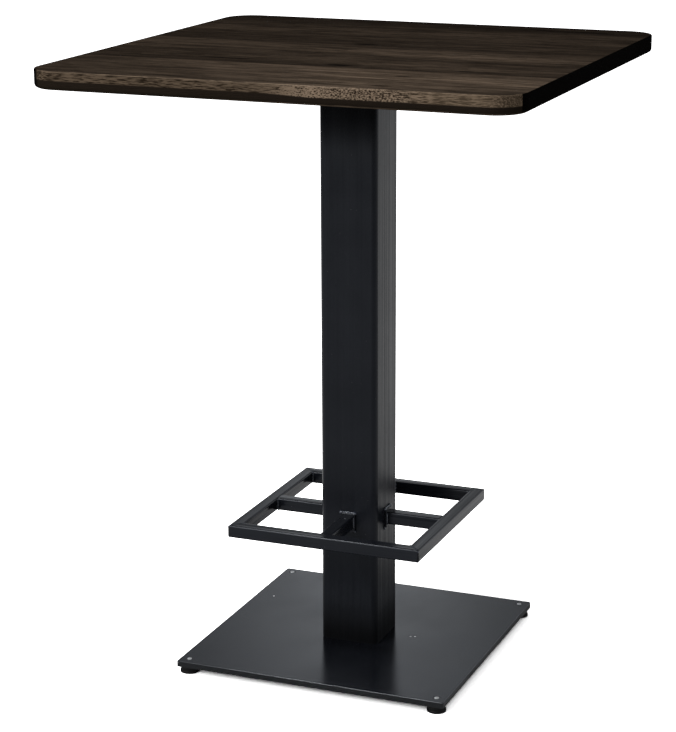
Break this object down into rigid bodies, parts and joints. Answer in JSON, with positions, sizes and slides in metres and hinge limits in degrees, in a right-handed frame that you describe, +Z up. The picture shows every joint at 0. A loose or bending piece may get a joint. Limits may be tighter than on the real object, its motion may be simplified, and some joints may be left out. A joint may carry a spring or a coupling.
{
  "type": "pub table",
  "caption": "Bar-height square table: staved wood top on a square steel column, with a footrest frame, a flat base plate and screw-adjusted levelling feet.",
  "frame": {"origin": "on the floor under the middle of the table, at the bottom centre of its box", "axes": "+Z up; -Y towards the front edge, +X to the right of someone facing that edge; the staves of the top run along X"},
  "size_m": [0.8, 0.8, 1.04],
  "materials": {
    "oak": "dark stained, brushed grain, satin lacquer",
    "black_steel": "black powder coat, semi-gloss, fine orange peel",
    "zinc_steel": "bright zinc plate",
    "foot_plastic": "moulded, fine matt"
  },
  "bodies": {
    "table": {"tabletop_stave_1": "oak", "tabletop_stave_2": "oak", "tabletop_stave_3": "oak", "tabletop_stave_4": "oak", "tabletop_stave_5": "oak", "tabletop_stave_6": "oak", "tabletop_stave_7": "oak", "base_plate": "black_steel", "column_flange": "black_steel", "column_tube": "black_steel", "top_carrier_plate": "black_steel", "footrest_lug_front": "black_steel", "footrest_spoke_front": "black_steel", "footrest_rail_front": "black_steel", "footrest_lug_right": "black_steel", "footrest_spoke_right": "black_steel", "footrest_rail_right": "black_steel", "footrest_lug_back": "black_steel", "footrest_spoke_back": "black_steel", "footrest_rail_back": "black_steel", "footrest_lug_left": "black_steel", "footrest_spoke_left": "black_steel", "footrest_rail_left": "black_steel", "base_bolts": "zinc_steel", "wood_screws": "zinc_steel"},
    "foot_pad_front_left": {"foot_pad_front_left": "foot_plastic"},
    "foot_screw_front_left": {"foot_screw_front_left": "zinc_steel"},
    "foot_pad_front_right": {"foot_pad_front_right": "foot_plastic"},
    "foot_screw_front_right": {"foot_screw_front_right": "zinc_steel"},
    "foot_pad_back_right": {"foot_pad_back_right": "foot_plastic"},
    "foot_screw_back_right": {"foot_screw_back_right": "zinc_steel"},
    "foot_pad_back_left": {"foot_pad_back_left": "foot_plastic"},
    "foot_screw_back_left": {"foot_screw_back_left": "zinc_steel"}
  },
  "joints": [
    {"name": "foot_travel_front_left", "type": "slide", "parent": "table", "child": "foot_pad_front_left", "axis": [0, 0, 1], "range_m": [-0.005, 0]},
    {"name": "foot_turn_front_left", "type": "hinge", "parent": "foot_pad_front_left", "child": "foot_screw_front_left", "pos_m": [-0.223, -0.223, 0.012], "axis": [0, 0, 1], "range_deg": [-1440, 0]},
    {"name": "foot_travel_front_right", "type": "slide", "parent": "table", "child": "foot_pad_front_right", "axis": [0, 0, 1], "range_m": [-0.005, 0]},
    {"name": "foot_turn_front_right", "type": "hinge", "parent": "foot_pad_front_right", "child": "foot_screw_front_right", "pos_m": [0.223, -0.223, 0.012], "axis": [0, 0, 1], "range_deg": [-1440, 0]},
    {"name": "foot_travel_back_right", "type": "slide", "parent": "table", "child": "foot_pad_back_right", "axis": [0, 0, 1], "range_m": [-0.005, 0]},
    {"name": "foot_turn_back_right", "type": "hinge", "parent": "foot_pad_back_right", "child": "foot_screw_back_right", "pos_m": [0.223, 0.223, 0.012], "axis": [0, 0, 1], "range_deg": [-1440, 0]},
    {"name": "foot_travel_back_left", "type": "slide", "parent": "table", "child": "foot_pad_back_left", "axis": [0, 0, 1], "range_m": [-0.005, 0]},
    {"name": "foot_turn_back_left", "type": "hinge", "parent": "foot_pad_back_left", "child": "foot_screw_back_left", "pos_m": [-0.223, 0.223, 0.012], "axis": [0, 0, 1], "range_deg": [-1440, 0]}
  ],
  "couplings": [
    {"joint": "foot_turn_front_left", "follows": "foot_travel_front_left", "rad_per_m": 5026.5},
    {"joint": "foot_turn_front_right", "follows": "foot_travel_front_right", "rad_per_m": 5026.5},
    {"joint": "foot_turn_back_right", "follows": "foot_travel_back_right", "rad_per_m": 5026.5},
    {"joint": "foot_turn_back_left", "follows": "foot_travel_back_left", "rad_per_m": 5026.5}
  ]
}
